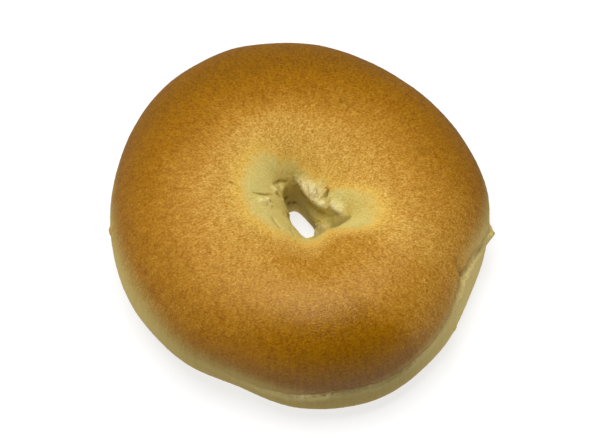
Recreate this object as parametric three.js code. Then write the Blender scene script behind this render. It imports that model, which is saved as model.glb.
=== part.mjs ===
// A plain bagel, whole and uncut: a boiled and baked ring of dough with a nearly closed hole.
// Millimetres, +Z up. It lies on its flat base, and the middle of the base is the origin.
//
// The skin is one closed grid. A bearing goes round the ring, counterclockwise from +X, and at
// each bearing a section runs from the crest down the outer side, under the base and back up
// through the hole. Creases and the dough seam are then pressed into that grid, and rolls and
// small lumps of dough raised from it.

import * as THREE from "three";

const DEGREE = Math.PI / 180;
const QUARTER = Math.PI / 2;

// Plan of the ring. A swell is a smooth local change of radius round one bearing.
const RING = {
  length: 116.8,
  breadth: 106.2,
  lean: 128,
  swells: [
    { at: 5, spread: 16, by: 0.7 },
    { at: 25, spread: 26, by: 0.7 },
    { at: 83, spread: 10, by: 0.4 },
    { at: 112, spread: 8, by: 0.4 },
    { at: 160, spread: 20, by: -0.7 },
    { at: 206, spread: 22, by: 1.0 },
    { at: 236, spread: 10, by: 0.8 },
    { at: 250, spread: 16, by: -2.0 },
    { at: 285, spread: 22, by: -1.8 },
    { at: 309, spread: 14, by: -1.9 },
    { at: 334, spread: 21, by: -4.4 },
  ],
};

// Waist of the hole: a slanted slot with round corners, where the dough has nearly met.
const SLOT = { x: 0.5, y: 1.25, length: 15.1, breadth: 6.1, lean: 118.6, squareness: 4.4 };

// Heights above the base.
const CREST_HEIGHT = {
  base: 39,
  hills: [
    { at: 120, spread: 60, by: 0.6 },
    { at: 330, spread: 50, by: -1.2 },
  ],
};
const EQUATOR_HEIGHT = {
  base: 15.5,
  hills: [
    { at: 243, spread: 20, by: 3.5 },
    { at: 290, spread: 30, by: 4.5 },
  ],
};
const WAIST_HEIGHT = 13;

// The crest lies this share of the way from the hole's waist to the outer edge.
const CREST_SHARE = 0.52;

// How far the flat base stays in from the outer edge, and from the waist of the hole.
const OUTER_TUCK = {
  base: 9,
  hills: [
    { at: 240, spread: 20, by: 3 },
    { at: 285, spread: 35, by: -3 },
    { at: 350, spread: 20, by: -2 },
  ],
};
const INNER_TUCK = {
  base: 3.8,
  hills: [
    { at: 30, spread: 35, by: 0.6 },
    { at: 115, spread: 40, by: 0.5 },
  ],
};

// Roundness of each stretch of the section: 2 is an ellipse, more is squarer, less is flatter.
const SHOULDER_ROUNDNESS = 2.15;
const FLANK_ROUNDNESS = 2.4;
const MOUTH_ROUNDNESS = {
  base: 2.9,
  hills: [
    { at: 20, spread: 30, by: -0.6 },
    { at: 120, spread: 30, by: 0.4 },
    { at: 215, spread: 45, by: -0.7 },
    { at: 275, spread: 35, by: -1.1 },
    { at: 338, spread: 24, by: -1.5 },
  ],
};

// Shallow dish in the top, round the hole.
const DISH = { x: 3, y: 4, length: 32, breadth: 24, lean: -15, depth: 6 };

// Edge of the browned crust, low on the side. In front it overhangs the pale foot under it, so
// the skin is undercut there, less far above the edge than below it.
const CRUST_EDGE = {
  height: {
    base: 21,
    hills: [
      { at: 200, spread: 35, by: 4 },
      { at: 258, spread: 24, by: -6.4 },
      { at: 300, spread: 16, by: -3.5 },
      { at: 334, spread: 14, by: 4.5 },
      { at: 356, spread: 12, by: -3 },
    ],
  },
  undercut: {
    base: 0,
    hills: [
      { at: 281, spread: 16, by: 1.7 },
      { at: 300, spread: 12, by: 1 },
      { at: 334, spread: 9, by: 0.6 },
      { at: 350, spread: 9, by: 0.5 },
    ],
  },
  above: 0.9,
  below: 1.7,
};

// The foot of pale dough that spread out under the crust's edge.
const FOOT = {
  by: {
    base: 0,
    hills: [
      { at: 295, spread: 36, by: 1.5 },
      { at: 345, spread: 22, by: 0.6 },
    ],
  },
  height: 8,
  spread: 4.6,
};

// Creases in the skin, each a short line through the points given.
const CREASES = [
  {
    name: "valley from the hole",
    depth: 2.2,
    width: 2.6,
    line: [
      [4, -2, 17],
      [9, -5, 24],
      [13, -6.5, 29],
      [17.5, -7, 34],
    ],
  },
  {
    name: "hollow under the roll",
    depth: 1.3,
    width: 2.1,
    line: [
      [-1, 8.6, 18.6],
      [1, 6.8, 18.6],
      [3.4, 3.7, 19.6],
      [5.9, 1.5, 20],
      [9.6, -1.2, 20.8],
    ],
  },
  {
    name: "seam of the dough",
    depth: 0.9,
    width: 1.4,
    line: [
      [42.7, -20, 31.1],
      [43.4, -21.7, 29.7],
      [44.8, -23.2, 27],
      [45.2, -24.9, 23.8],
      [44.6, -26.8, 22.6],
    ],
  },
  {
    name: "fold beside the seam",
    depth: 0.5,
    width: 1.4,
    line: [
      [45.1, -23.4, 26.2],
      [47.6, -18.9, 23.9],
      [51.2, -11.1, 20.1],
      [53.2, -6.7, 17.4],
    ],
  },
  {
    name: "split by the hole",
    depth: 1.2,
    width: 1.2,
    line: [
      [-13.6, -1, 34.4],
      [-11.2, -0.4, 32.5],
      [-9.5, 0.3, 30.8],
      [-7.4, 1.8, 28.2],
    ],
  },
];

// Rolls of dough that stand out of the skin, each along the line through the points given.
const ROLLS = [
  {
    name: "long roll in the hole",
    height: 1.2,
    width: 2,
    line: [
      [-1.6, 9.2, 22.8],
      [0.6, 8.2, 23.4],
      [2.7, 6.5, 24.2],
      [4.7, 5.1, 24.4],
      [6.6, 3.5, 24.1],
    ],
  },
  {
    name: "short roll in the hole",
    height: 1,
    width: 1.7,
    line: [
      [8.3, 1.7, 24.1],
      [10.4, 0.3, 24.7],
      [12.7, -1.4, 25.2],
    ],
  },
];

// Small lumps of dough that stand out of the skin.
const LUMPS = [
  { name: "right nub", height: 1.9, width: 2.2, centre: [54.2, -4.6, 16.5] },
  { name: "left nub", height: 0.9, width: 1.5, centre: [-53.7, -6.8, 22.4] },
  { name: "lower right nub", height: 1.2, width: 2, centre: [43.6, -33.4, 13.5] },
  { name: "crumb in the hole", height: 1, width: 1.4, centre: [6.6, -7.4, 24.2] },
];

// Columns of the grid, and how much closer they stand round the front right, where the creases are.
const COLUMNS = 150;
const CROWDING = 0.25;
const CROWDED_BEARING = 300;

// How much closer the rows stand to the crust's edge: 1 is not at all.
const EDGE_CROWDING = 1.4;

const CRUST_COLOUR = 0xb0742a;
const CRUST_ROUGHNESS = 0.55;

// Angle between two bearings in degrees, from -180 to 180.
function turnBetween(bearing, other) {
  return ((((bearing - other + 180) % 360) + 360) % 360) - 180;
}

// A smooth hill of height 1 round one bearing.
function hill(bearing, at, spread) {
  return Math.exp(-((turnBetween(bearing, at) / spread) ** 2));
}

// A size that changes round the ring: its base value plus its hills.
function sizeAt(bearing, size) {
  return size.hills.reduce((sum, part) => sum + part.by * hill(bearing, part.at, part.spread), size.base);
}

// Radius of a superellipse at an angle from its long axis.
function superellipseRadius(angle, length, breadth, power) {
  const along = Math.abs(Math.cos(angle) / (length / 2)) ** power;
  const across = Math.abs(Math.sin(angle) / (breadth / 2)) ** power;
  return (along + across) ** (-1 / power);
}

function outerPoint(bearing) {
  const angle = (bearing - RING.lean) * DEGREE;
  const radius = superellipseRadius(angle, RING.length, RING.breadth, 2);
  const swollen = sizeAt(bearing, { base: radius, hills: RING.swells });
  return new THREE.Vector2(swollen * Math.cos(bearing * DEGREE), swollen * Math.sin(bearing * DEGREE));
}

function waistPoint(bearing) {
  const angle = (bearing - SLOT.lean) * DEGREE;
  const radius = superellipseRadius(angle, SLOT.length, SLOT.breadth, SLOT.squareness);
  const offset = new THREE.Vector2(Math.cos(bearing * DEGREE), Math.sin(bearing * DEGREE));
  return new THREE.Vector2(SLOT.x, SLOT.y).addScaledVector(offset, radius);
}

// Where the crust's edge lies on the side, as a turn: 0 at the crest, 1 at the outer edge and
// 2 on the base.
function edgeTurnAt(bearing) {
  const edge = sizeAt(bearing, CRUST_EDGE.height);
  const equator = sizeAt(bearing, EQUATOR_HEIGHT);
  if (edge >= equator) {
    const share = Math.min((edge - equator) / (sizeAt(bearing, CREST_HEIGHT) - equator), 1);
    return Math.acos(share ** (SHOULDER_ROUNDNESS / 2)) / QUARTER;
  }
  return 1 + Math.asin(((equator - edge) / equator) ** (FLANK_ROUNDNESS / 2)) / QUARTER;
}

// The sizes that shape the section at one bearing.
function sectionAt(bearing) {
  const inner = waistPoint(bearing);
  const outer = outerPoint(bearing);
  const width = inner.distanceTo(outer);
  return {
    inner,
    outer,
    width,
    crest: CREST_SHARE * width,
    crestHeight: sizeAt(bearing, CREST_HEIGHT),
    equatorHeight: sizeAt(bearing, EQUATOR_HEIGHT),
    outerTuck: sizeAt(bearing, OUTER_TUCK),
    innerTuck: sizeAt(bearing, INNER_TUCK),
    edgeTurn: edgeTurnAt(bearing),
    mouthRoundness: sizeAt(bearing, MOUTH_ROUNDNESS),
  };
}

// The outer side of the section at a turn: the shoulder as far as 1, then the flank.
function side(section, turn) {
  if (turn <= 1) {
    const power = 2 / SHOULDER_ROUNDNESS;
    const rise = section.crestHeight - section.equatorHeight;
    return {
      reach: section.crest + (section.width - section.crest) * Math.sin(turn * QUARTER) ** power,
      height: section.equatorHeight + rise * Math.cos(turn * QUARTER) ** power,
    };
  }
  const power = 2 / FLANK_ROUNDNESS;
  const angle = (turn - 1) * QUARTER;
  return {
    reach: section.width - section.outerTuck * (1 - Math.cos(angle) ** power),
    height: section.equatorHeight * (1 - Math.sin(angle) ** power),
  };
}

// The stretches of a section. Each gives the reach out from the waist of the hole and the
// height above the base, at a share from 0 to 1 of its way. Rows crowd to the crust's edge.
function aboveEdge(section, share) {
  return side(section, section.edgeTurn * (1 - (1 - share) ** EDGE_CROWDING));
}

function belowEdge(section, share) {
  return side(section, section.edgeTurn + (2 - section.edgeTurn) * share ** EDGE_CROWDING);
}

function base(section, share) {
  return { reach: THREE.MathUtils.lerp(section.width - section.outerTuck, section.innerTuck, share), height: 0 };
}

function throat(section, share) {
  const angle = share * QUARTER;
  return { reach: section.innerTuck * (1 - Math.sin(angle)), height: WAIST_HEIGHT * (1 - Math.cos(angle)) };
}

function mouth(section, share) {
  const angle = share * QUARTER;
  const power = 2 / section.mouthRoundness;
  return {
    reach: section.crest * (1 - Math.cos(angle) ** power),
    height: WAIST_HEIGHT + (section.crestHeight - WAIST_HEIGHT) * Math.sin(angle) ** power,
  };
}

const STRETCHES = [
  { trace: aboveEdge, rows: 11 },
  { trace: belowEdge, rows: 11 },
  { trace: base, rows: 2 },
  { trace: throat, rows: 4 },
  { trace: mouth, rows: 11 },
];

// How far the dish lowers the top at a plan point.
function dishDepth(plan) {
  const offset = new THREE.Vector2(plan.x - DISH.x, plan.y - DISH.y);
  offset.rotateAround(new THREE.Vector2(), -DISH.lean * DEGREE);
  return DISH.depth * Math.exp(-((offset.x / (DISH.length / 2)) ** 2) - (offset.y / (DISH.breadth / 2)) ** 2);
}

// How far the undercut and the foot move the outer side at a bearing and a height.
function edgeReach(bearing, height) {
  const off = height - sizeAt(bearing, CRUST_EDGE.height);
  const spread = off > 0 ? CRUST_EDGE.above : CRUST_EDGE.below;
  const undercut = sizeAt(bearing, CRUST_EDGE.undercut) * Math.exp(-((off / spread) ** 2));
  const foot = sizeAt(bearing, FOOT.by) * Math.exp(-(((height - FOOT.height) / FOOT.spread) ** 2));
  return foot - undercut;
}

// One point of the smooth skin.
function skinPoint(bearing, section, trace, share) {
  const onOuterSide = trace === aboveEdge || trace === belowEdge;
  let { reach, height } = trace(section, share);
  const plan = section.inner.clone().lerp(section.outer, reach / section.width);
  const rise = THREE.MathUtils.clamp((height - WAIST_HEIGHT) / (section.crestHeight - WAIST_HEIGHT), 0, 1);
  height -= dishDepth(plan) * rise;
  if (onOuterSide) {
    const moved = reach + edgeReach(bearing, height);
    plan.lerpVectors(section.inner, section.outer, moved / section.width);
  }
  return new THREE.Vector3(plan.x, plan.y, height);
}

// The bearing of a column, closer together round the crowded bearing.
function columnBearing(column) {
  const turn = (column / COLUMNS) * 360;
  return turn - (CROWDING / DEGREE) * Math.sin((turn - CROWDED_BEARING) * DEGREE);
}

// The smooth skin as an indexed grid that closes on itself both ways.
function smoothSkin() {
  const rows = STRETCHES.reduce((sum, part) => sum + part.rows, 0);
  const positions = [];
  const faces = [];
  for (let column = 0; column < COLUMNS; column += 1) {
    const bearing = columnBearing(column);
    const section = sectionAt(bearing);
    for (const { trace, rows: count } of STRETCHES) {
      for (let row = 0; row < count; row += 1) {
        positions.push(...skinPoint(bearing, section, trace, row / count));
      }
    }
    for (let row = 0; row < rows; row += 1) {
      const nextColumn = (column + 1) % COLUMNS;
      const nextRow = (row + 1) % rows;
      const here = column * rows + row;
      const below = column * rows + nextRow;
      const beside = nextColumn * rows + row;
      const opposite = nextColumn * rows + nextRow;
      faces.push(here, below, opposite, here, opposite, beside);
    }
  }
  const geometry = new THREE.BufferGeometry();
  geometry.setAttribute("position", new THREE.Float32BufferAttribute(positions, 3));
  geometry.setIndex(faces);
  geometry.computeVertexNormals();
  return geometry;
}

// How near a point is to a line: 1 on the middle of it, 0 far away and at its ends.
function nearness(point, { line, width }) {
  const corners = line.map((corner) => new THREE.Vector3(...corner));
  const lengths = corners.slice(1).map((corner, index) => corner.distanceTo(corners[index]));
  const total = lengths.reduce((sum, length) => sum + length, 0);
  let nearest = Infinity;
  let along = 0;
  let passed = 0;
  lengths.forEach((length, index) => {
    const piece = new THREE.Line3(corners[index], corners[index + 1]);
    const share = piece.closestPointToPointParameter(point, true);
    const distance = piece.at(share, new THREE.Vector3()).distanceTo(point);
    if (distance < nearest) {
      nearest = distance;
      along = (passed + share * length) / total;
    }
    passed += length;
  });
  return Math.sqrt(Math.sin(Math.PI * along)) * Math.exp(-((nearest / width) ** 2));
}

// How far a lump lifts a point.
function lumpHeight(point, { centre, height, width }) {
  return height * Math.exp(-((point.distanceTo(new THREE.Vector3(...centre)) / width) ** 2));
}

// The creases, rolls and lumps move the skin along its normals, but never below the base.
function addRelief(geometry) {
  const positions = geometry.getAttribute("position");
  const normals = geometry.getAttribute("normal");
  const point = new THREE.Vector3();
  const normal = new THREE.Vector3();
  for (let index = 0; index < positions.count; index += 1) {
    point.fromBufferAttribute(positions, index);
    normal.fromBufferAttribute(normals, index);
    let lift = 0;
    CREASES.forEach((crease) => {
      lift -= crease.depth * nearness(point, crease);
    });
    ROLLS.forEach((roll) => {
      lift += roll.height * nearness(point, roll);
    });
    LUMPS.forEach((lump) => {
      lift += lumpHeight(point, lump);
    });
    point.addScaledVector(normal, lift);
    positions.setXYZ(index, point.x, point.y, Math.max(point.z, 0));
  }
}

// Sets the middle of the base on the origin.
function centreOnBase(geometry) {
  geometry.computeBoundingBox();
  const middle = geometry.boundingBox.getCenter(new THREE.Vector3());
  geometry.translate(-middle.x, -middle.y, -geometry.boundingBox.min.z);
}

function makeBagel() {
  const geometry = smoothSkin();
  addRelief(geometry);
  centreOnBase(geometry);
  geometry.computeVertexNormals();
  const crust = new THREE.MeshStandardMaterial({
    color: CRUST_COLOUR,
    roughness: CRUST_ROUGHNESS,
    metalness: 0,
  });
  const mesh = new THREE.Mesh(geometry, crust);
  mesh.name = "bagel";
  return mesh;
}

const group = new THREE.Group();
group.add(makeBagel());

export default group;
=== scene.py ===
"""Looks of a plain, whole, uncut bagel, in metres, resting on its flat base.

The bagel is one closed ring of dough. Its surface is swept round the hole from a
few named sizes in millimetres, the same ones that its solid is made from, with
enough points for its folds, seam and crags. A Geometry Nodes tree then raises the
blisters, crumbs and stretch wrinkles that cover it, and one material browns it.
"""

from __future__ import annotations

import logging
import math
from collections.abc import Callable
from dataclasses import dataclass, field
from enum import Enum
from functools import partial

import bpy
import numpy as np
from mathutils import Matrix, Vector

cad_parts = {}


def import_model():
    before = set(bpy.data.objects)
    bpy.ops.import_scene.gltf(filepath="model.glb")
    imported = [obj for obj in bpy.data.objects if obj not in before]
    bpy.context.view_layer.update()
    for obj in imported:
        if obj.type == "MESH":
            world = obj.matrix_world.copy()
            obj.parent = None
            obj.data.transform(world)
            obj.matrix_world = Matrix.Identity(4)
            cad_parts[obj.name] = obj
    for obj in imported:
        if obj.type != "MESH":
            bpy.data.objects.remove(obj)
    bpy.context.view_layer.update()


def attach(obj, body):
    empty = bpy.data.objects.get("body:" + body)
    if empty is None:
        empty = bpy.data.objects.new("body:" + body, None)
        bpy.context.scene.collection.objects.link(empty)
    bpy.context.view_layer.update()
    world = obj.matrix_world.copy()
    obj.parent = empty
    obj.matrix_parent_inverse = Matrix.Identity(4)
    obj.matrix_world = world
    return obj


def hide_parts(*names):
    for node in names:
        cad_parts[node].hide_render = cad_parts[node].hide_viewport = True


MILLIMETRE = 0.001
RING_MIDDLE = (0.40, 0.64, 0.0)  # mm, middle of the footprint as the sizes below place it
OUTER_SHARE = 0.5  # of the way from the hole's waist to the outline, where the outer half starts
WHITE = "FFFFFF"
NOISE_MIDDLE = 0.5  # what a noise swings round
LOG = logging.getLogger("bagel")

Point = tuple[float, float, float]
Span = tuple[float, float]  # where something starts, and where it is complete
Socket = bpy.types.NodeSocket
Adder = Callable[..., Socket]  # add_node for one tree
Curve = tuple[np.ndarray, np.ndarray]  # reach from the hole's waist, and height


class Skin(str, Enum):
    """Values that the ring's points carry for its relief and its finish."""

    BAKE = "bake"  # 0 pale dough, 1 fully browned crust
    SIDE = "side"  # 1 low on the side, where the dough stayed dull and dry
    CRUMBLY = "crumbly"  # 1 where torn or untouched dough has a bubbly, crumbed face
    WRINKLED = "wrinkled"  # 1 where the dough was stretched into fine folds
    GRAIN = "grain"  # seamless place on the skin, drawn out towards the hole
    SHADE = "shade"  # 1 in a crease, gap or pit, or deep in the hole: painted shade, darkened towards dark olive
    FLOURY = "floury"  # 1 where the dough stayed palest
    DRY = "dry"  # 1 where the side's dough stayed light and dry
    SATIN = "satin"  # 1 where the crust is glossiest
    PAINTED_SHADOW_LINE = "crevice"  # 1 in the painted shadow line along the crust's overhanging edge


def linear_colour(hex_colour: str) -> tuple[float, float, float, float]:
    """Turn an sRGB hex colour into linear light.

    Args:
        hex_colour: six hex digits, red first.

    Returns:
        Red, green, blue and full opacity, linear.
    """
    channels = [int(hex_colour[i : i + 2], 16) / 255.0 for i in (0, 2, 4)]
    linear = [c / 12.92 if c <= 0.04045 else ((c + 0.055) / 1.055) ** 2.4 for c in channels]
    return (linear[0], linear[1], linear[2], 1.0)


def smooth_step(value: np.ndarray, start: np.ndarray | float, stop: np.ndarray | float) -> np.ndarray:
    """Ease from 0 at start to 1 at stop.

    Args:
        value: what is measured.
        start: where the result leaves 0.
        stop: where it reaches 1.

    Returns:
        The eased share, 0 to 1.
    """
    share = np.clip((value - start) / (stop - start), 0.0, 1.0)
    return share * share * (3.0 - 2.0 * share)


def add_node(
    tree: bpy.types.NodeTree,
    kind: str,
    inputs: dict[str | int, object] | None = None,
    output: str | int = 0,
    **settings: object,
) -> Socket | None:
    """Add one node, with its settings, values and links.

    Args:
        tree: the node tree that gets it.
        kind: the node's type name.
        inputs: by socket name or number, a value, or an output socket to link.
        output: the name or number of the output socket that is wanted.
        settings: the node's options by name.

    Returns:
        That socket, or None from a node without outputs.
    """
    node = tree.nodes.new(kind)
    for option, value in settings.items():
        setattr(node, option, value)
    for key, value in (inputs or {}).items():
        if isinstance(value, Socket):
            tree.links.new(value, node.inputs[key])
        else:
            node.inputs[key].default_value = value
    return node.outputs[output] if node.outputs else None


@dataclass(frozen=True)
class Ease:
    """A range that a value runs over, and what it is turned into."""

    start: float
    stop: float
    low: float = 0.0
    high: float = 1.0

    def inputs(self, value: Socket) -> dict[str | int, object]:
        """Give the inputs of a node that maps the value so."""
        ends = {"From Min": self.start, "From Max": self.stop, "To Min": self.low, "To Max": self.high}
        return {"Value": value, **ends}


# ---------------------------------------------------------------- sizes of the ring


@dataclass(frozen=True)
class Hill:
    """One smooth rise, or dip, of a size on the way round the ring."""

    at: float  # bearing of its middle, degrees
    spread: float  # degrees to where it has sunk to about a third
    by: float  # what it adds to the size


@dataclass(frozen=True)
class RoundSize:
    """A size that changes smoothly round the ring."""

    base: float
    hills: tuple[Hill, ...] = ()

    def at(self, bearing: np.ndarray) -> np.ndarray:
        """Give the size at some bearings.

        Args:
            bearing: angles round the ring, radians.

        Returns:
            The size at each.
        """
        size = np.full_like(bearing, self.base)
        for hill in self.hills:
            turn = (np.degrees(bearing) - hill.at + 180.0) % 360.0 - 180.0
            size = size + hill.by * np.exp(-((turn / hill.spread) ** 2))
        return size


@dataclass(frozen=True)
class Outline:
    """Plan outline of the ring: a leaning ellipse, uneven as hand-shaped dough is."""

    length: float = 116.8
    breadth: float = 106.2
    lean: float = 128.0
    swells: RoundSize = RoundSize(
        0.0,
        (
            Hill(5, 16, 0.7), Hill(25, 26, 0.7), Hill(83, 10, 0.4), Hill(112, 8, 0.4),
            Hill(160, 20, -0.7), Hill(206, 22, 1.0), Hill(236, 10, 0.8),
            Hill(250, 16, -2.0), Hill(285, 22, -1.8), Hill(309, 14, -1.9),
            Hill(334, 21, -4.4),
        ),
    )

    def radius(self, bearing: np.ndarray) -> np.ndarray:
        """Give the outline's distance from the middle.

        Args:
            bearing: angles round the ring, radians.

        Returns:
            The distance at each, mm.
        """
        long_half = self.length / 2.0
        short_half = self.breadth / 2.0
        turn = bearing - math.radians(self.lean)
        ellipse = long_half * short_half / np.hypot(short_half * np.cos(turn), long_half * np.sin(turn))
        return ellipse + self.swells.at(bearing)


@dataclass(frozen=True)
class HoleSlot:
    """The narrow, slanted slot that baking has left of the hole, at its waist."""

    x: float = 0.5
    y: float = 1.25
    length: float = 15.1
    breadth: float = 6.1
    lean: float = 118.6
    squareness: float = 4.4

    def radius(self, bearing: np.ndarray) -> np.ndarray:
        """Give the slot's distance from its own middle.

        Args:
            bearing: angles round the ring, radians.

        Returns:
            The distance at each, mm.
        """
        turn = bearing - math.radians(self.lean)
        along = np.abs(np.cos(turn) / (self.length / 2.0)) ** self.squareness
        across = np.abs(np.sin(turn) / (self.breadth / 2.0)) ** self.squareness
        return (along + across) ** (-1.0 / self.squareness)


@dataclass(frozen=True)
class Section:
    """Sizes of the dough's section, from the hole's waist over the crest to the base."""

    crest: RoundSize = RoundSize(39.0, (Hill(120, 60, 0.6), Hill(330, 50, -1.2)))
    crest_share: float = 0.52  # of the way from the waist to the outline
    equator: RoundSize = RoundSize(15.5, (Hill(243, 20, 3.5), Hill(290, 30, 4.5)))
    waist: float = 13.0
    tuck: RoundSize = RoundSize(9.0, (Hill(240, 20, 3.0), Hill(285, 35, -3.0), Hill(350, 20, -2.0)))
    hole_tuck: RoundSize = RoundSize(3.8, (Hill(30, 35, 0.6), Hill(115, 40, 0.5)))
    shoulder_roundness: float = 2.15
    flank_roundness: float = 2.4
    mouth_roundness: RoundSize = RoundSize(
        2.9,
        (
            Hill(20, 30, -0.6), Hill(120, 30, 0.4), Hill(215, 45, -0.7),
            Hill(275, 35, -1.1), Hill(338, 24, -1.5),
        ),
    )


@dataclass(frozen=True)
class Dish:
    """The shallow dish that the top sinks into round the hole."""

    x: float = 3.0
    y: float = 4.0
    length: float = 32.0
    breadth: float = 24.0
    lean: float = -15.0
    depth: float = 6.0

    def drop(self, x: np.ndarray, y: np.ndarray) -> np.ndarray:
        """Give how far the top is lowered.

        Args:
            x: places across the ring, mm.
            y: places along it, mm.

        Returns:
            The drop at each place, mm.
        """
        lean = math.radians(self.lean)
        along = (x - self.x) * math.cos(lean) + (y - self.y) * math.sin(lean)
        across = (y - self.y) * math.cos(lean) - (x - self.x) * math.sin(lean)
        return self.depth * np.exp(-((2 * along / self.length) ** 2) - (2 * across / self.breadth) ** 2)


@dataclass(frozen=True)
class Wave:
    """A ripple that runs a whole number of times round the ring."""

    count: int
    height: float
    turn: float = 0.0  # radians

    def at(self, bearing: np.ndarray) -> np.ndarray:
        """Give the ripple at some bearings, radians."""
        return self.height * np.sin(self.count * bearing + self.turn)


@dataclass(frozen=True)
class CrustEdge:
    """The edge of the browned crust, which overhangs the pale dough under it in front."""

    height: RoundSize = RoundSize(
        21.0,
        (
            Hill(200, 35, 4.0), Hill(258, 24, -6.4), Hill(300, 16, -3.5),
            Hill(334, 14, 4.5), Hill(356, 12, -3.0),
        ),
    )
    undercut: RoundSize = RoundSize(
        0.0,
        (Hill(281, 16, 1.7), Hill(300, 12, 1.0), Hill(334, 9, 0.6), Hill(350, 9, 0.5)),
    )
    full_undercut: float = 2.0  # mm, at which its lip and its ledge are complete
    above: float = 0.9
    below: float = 1.7
    lip: float = 0.25
    lip_height: float = 1.6
    wander: tuple[Wave, ...] = (Wave(17, 0.35), Wave(41, 0.21, 2.0), Wave(97, 0.2, 0.7))  # mm
    unevenness: Wave = Wave(23, 0.3, 1.0)  # share of the undercut

    def climb(self, bearing: np.ndarray, height: np.ndarray) -> np.ndarray:
        """Give how far heights on the side lie above the edge, mm."""
        return height - self.height.at(bearing) - sum(wave.at(bearing) for wave in self.wander)

    def ledge(self, depth: np.ndarray) -> np.ndarray:
        """Give how complete the lip and the ledge are at an undercut this deep."""
        return np.clip(depth / self.full_undercut, 0, 1)

    def reach_change(self, bearing: np.ndarray, height: np.ndarray) -> np.ndarray:
        """Give how far the edge draws the skin in, or its lip pushes it out.

        Args:
            bearing: angles round the ring, radians.
            height: heights on the side, mm.

        Returns:
            What is added to the reach, mm.
        """
        off = self.climb(bearing, height)
        depth = self.undercut.at(bearing) * (1 + self.unevenness.at(bearing))
        spread = np.where(off > 0, self.above, self.below)
        lip = self.lip * self.ledge(depth) * np.exp(-((off - self.lip_height) ** 2))
        return lip - depth * np.exp(-((off / spread) ** 2))


@dataclass(frozen=True)
class Foot:
    """The skirt of pale dough that spread out on the tray under the crust's edge."""

    by: RoundSize = RoundSize(0.0, (Hill(295, 36, 1.5), Hill(345, 22, 0.6)))
    height: float = 8.0
    spread: float = 4.6

    def reach_change(self, bearing: np.ndarray, height: np.ndarray) -> np.ndarray:
        """Give how far the skirt stands out at each place on the side."""
        return self.by.at(bearing) * np.exp(-(((height - self.height) / self.spread) ** 2))


@dataclass(frozen=True)
class Trace:
    """One crease, ridge, pit or lump, along a line on the dough."""

    name: str
    path: tuple[Point, ...]
    rise: float  # mm out of the skin, less than 0 for a cut
    width: float  # mm from its line to where it has sunk to about a third
    crumbly: float = 0.0
    # painted shade along the trace, towards the shaded olive
    shade: float = 0.0
    floury: float = 0.0

    def nearness(self, points: np.ndarray) -> np.ndarray:
        """Give how near points are to the line, fading towards its ends.

        Args:
            points: places on the skin, mm, their last axis x, y and z.

        Returns:
            1 on the middle of the line and 0 far from it.
        """
        path = np.array(self.path, dtype=float)
        if len(path) == 1:
            offset = np.linalg.norm(points - path[0], axis=-1)
            return np.exp(-((offset / self.width) ** 2))
        lengths = np.linalg.norm(np.diff(path, axis=0), axis=1)
        nearest = np.full(points.shape[:-1], np.inf)
        along = np.zeros(points.shape[:-1])
        passed = 0.0
        for start, stop, length in zip(path[:-1], path[1:], lengths):
            step = (stop - start) / length
            share = np.clip((points - start) @ step, 0.0, length)
            offset = np.linalg.norm(points - start - share[..., None] * step, axis=-1)
            closer = offset < nearest
            nearest = np.where(closer, offset, nearest)
            along = np.where(closer, (passed + share) / lengths.sum(), along)
            passed += length
        taper = np.sqrt(np.clip(np.sin(np.pi * along), 0.0, 1.0))
        return taper * np.exp(-((nearest / self.width) ** 2))


# shade= paints shade into a trace's crease, gap, pit, crumbs or dim wall
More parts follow.
